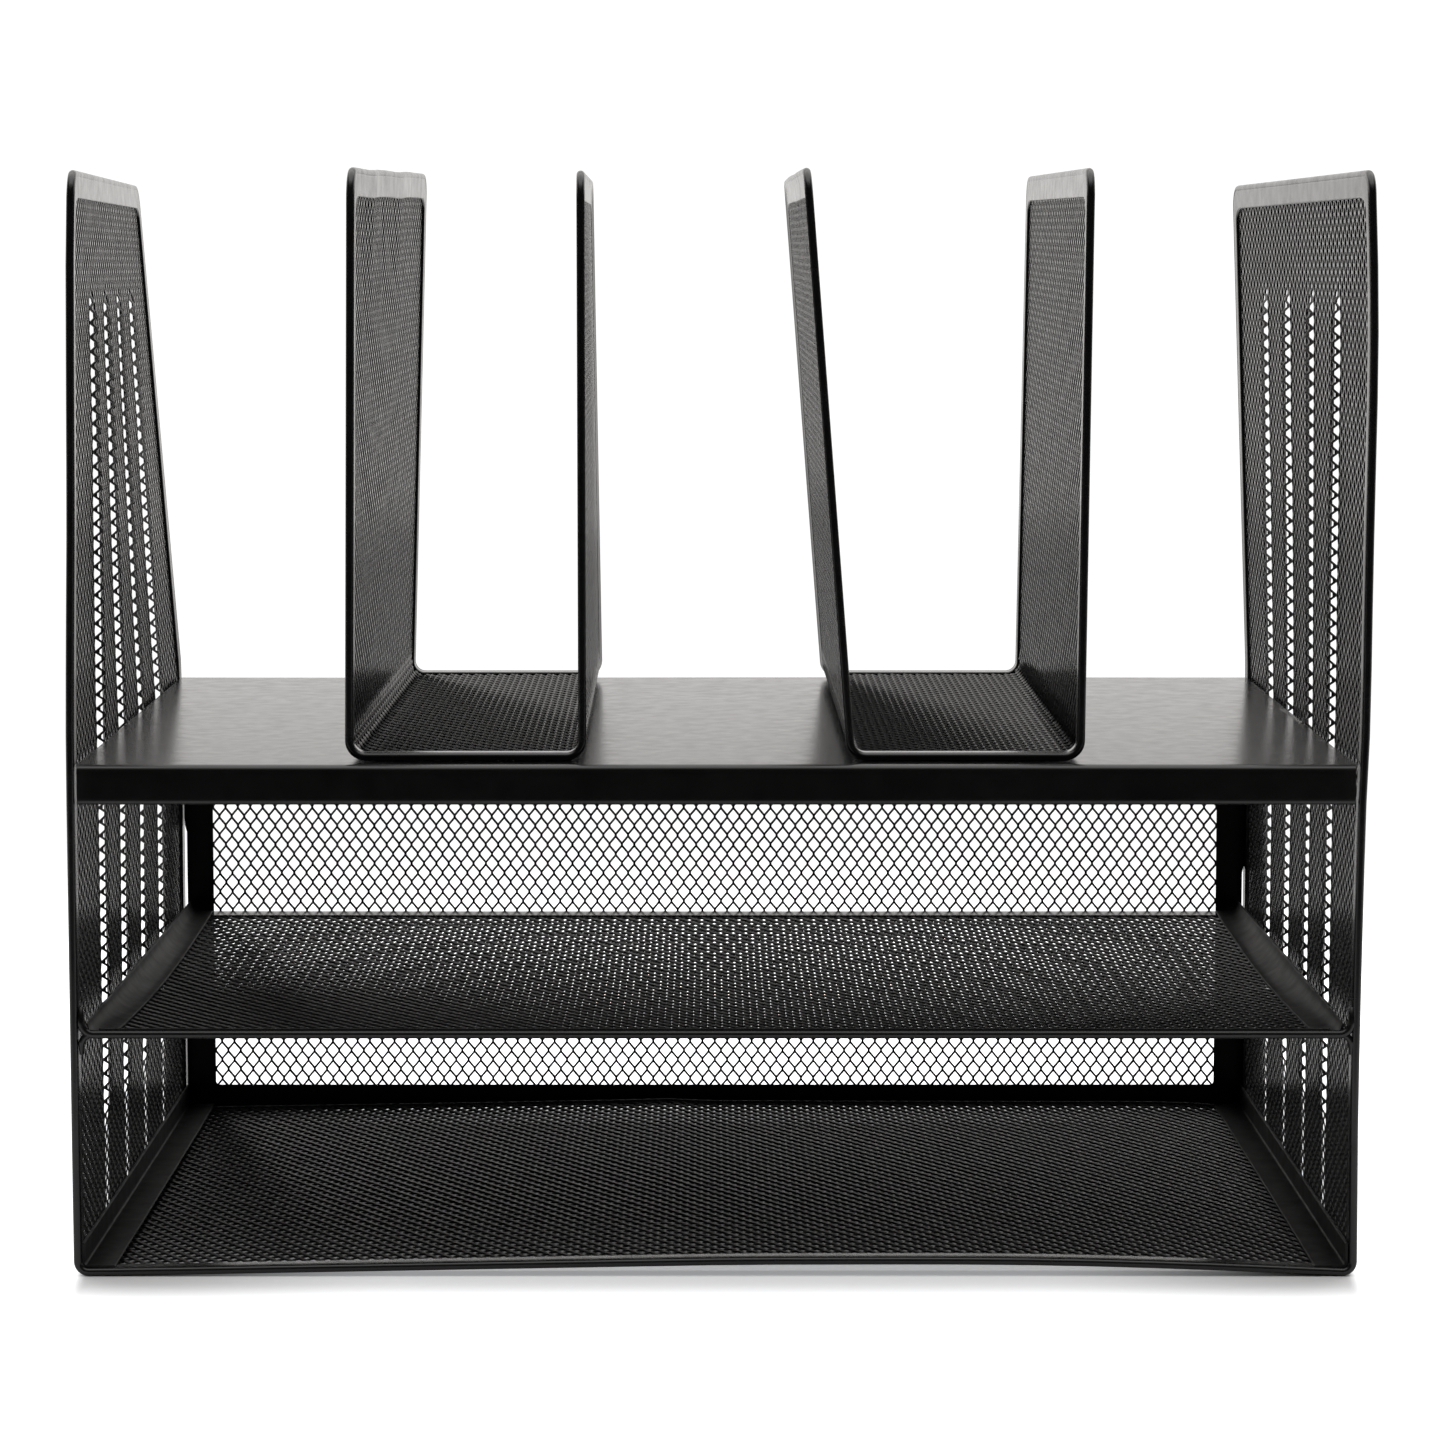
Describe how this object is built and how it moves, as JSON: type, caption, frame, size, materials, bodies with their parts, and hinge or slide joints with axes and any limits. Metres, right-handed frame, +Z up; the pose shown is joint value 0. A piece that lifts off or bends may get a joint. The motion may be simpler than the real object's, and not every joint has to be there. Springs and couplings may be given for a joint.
{
  "type": "desktop file sorter",
  "caption": "Black mesh desktop file sorter: two letter trays under a sheet shelf, tall ribbed end panels and loose U-shaped upright dividers that slide along the shelf.",
  "frame": {"origin": "middle of the underside of the overall box", "axes": "+Z up, open front faces -Y, +X to the right seen from the front"},
  "size_m": [0.4369, 0.2831, 0.3601],
  "materials": {
    "black_mesh": "satin black enamel on expanded steel mesh",
    "black_wire": "semi-gloss black enamel on round steel wire",
    "black_sheet": "satin black enamel on steel sheet",
    "black_border": "semi-gloss black enamel on folded steel hem"
  },
  "bodies": {
    "frame": {"shell_rim_wire": "black_wire", "left_end_border": "black_border", "right_end_border": "black_border", "left_end_mesh": "black_mesh", "right_end_mesh": "black_mesh", "bottom_tray_mesh": "black_mesh", "bottom_front_hem": "black_border", "bottom_rear_hem": "black_border", "bottom_left_angle": "black_sheet", "bottom_right_angle": "black_sheet", "middle_tray_mesh": "black_mesh", "middle_front_hem": "black_border", "middle_rear_hem": "black_border", "middle_left_strip": "black_sheet", "middle_right_strip": "black_sheet", "middle_front_wire": "black_wire", "shelf_panel": "black_sheet", "rear_frame": "black_sheet", "rear_mesh": "black_mesh"},
    "divider_1": {"divider_1_rim_wire": "black_wire", "divider_1_border": "black_border", "divider_1_mesh": "black_mesh"},
    "divider_2": {"divider_2_rim_wire": "black_wire", "divider_2_border": "black_border", "divider_2_mesh": "black_mesh"}
  },
  "joints": [
    {"name": "divider_1_slide", "type": "slide", "parent": "frame", "child": "divider_1", "axis": [1, 0, 0], "range_m": [-0.074, 0.03]},
    {"name": "divider_2_slide", "type": "slide", "parent": "frame", "child": "divider_2", "axis": [1, 0, 0], "range_m": [-0.032, 0.066]}
  ]
}
